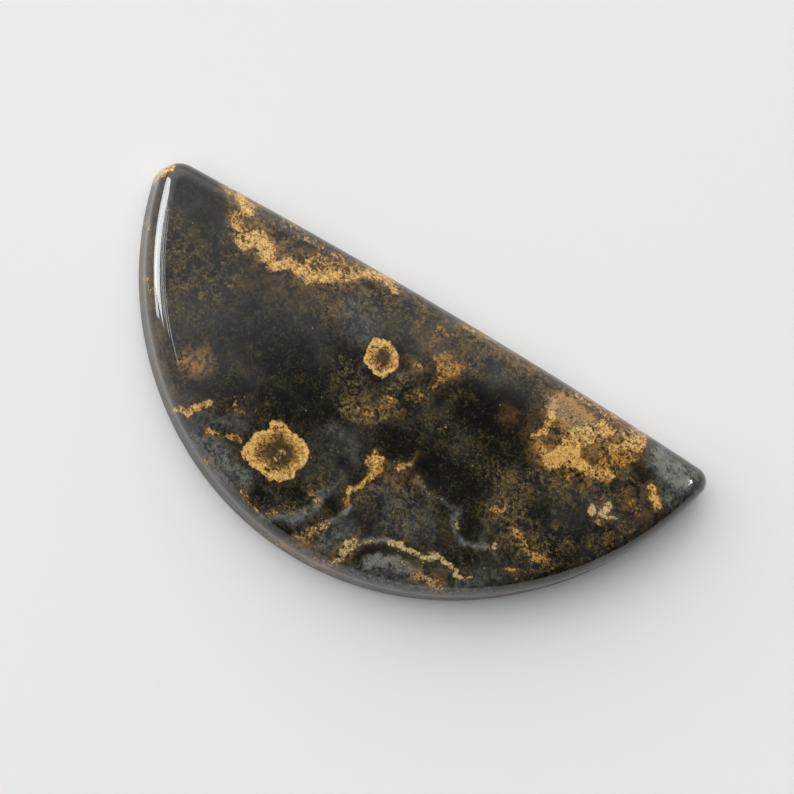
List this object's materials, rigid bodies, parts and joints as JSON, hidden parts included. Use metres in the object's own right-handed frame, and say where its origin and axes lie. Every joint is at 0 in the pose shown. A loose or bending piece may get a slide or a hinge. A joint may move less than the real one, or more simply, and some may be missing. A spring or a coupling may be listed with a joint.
{
  "type": "dendritic agate cabochon",
  "caption": "Polished half-moon cabochon of dark dendritic agate, with a flat back, rounded shoulders and a low domed face.",
  "frame": {"origin": "middle of the outline's box, on the flat back", "axes": "+X along the straight edge, +Y from the curved side towards the straight edge, +Z out of the domed face"},
  "size_m": [0.046, 0.021, 0.005],
  "materials": {
    "agate": "polished, dark with ochre and blue-grey inclusions"
  },
  "bodies": {
    "root": {"cabochon": "agate"}
  },
  "joints": []
}
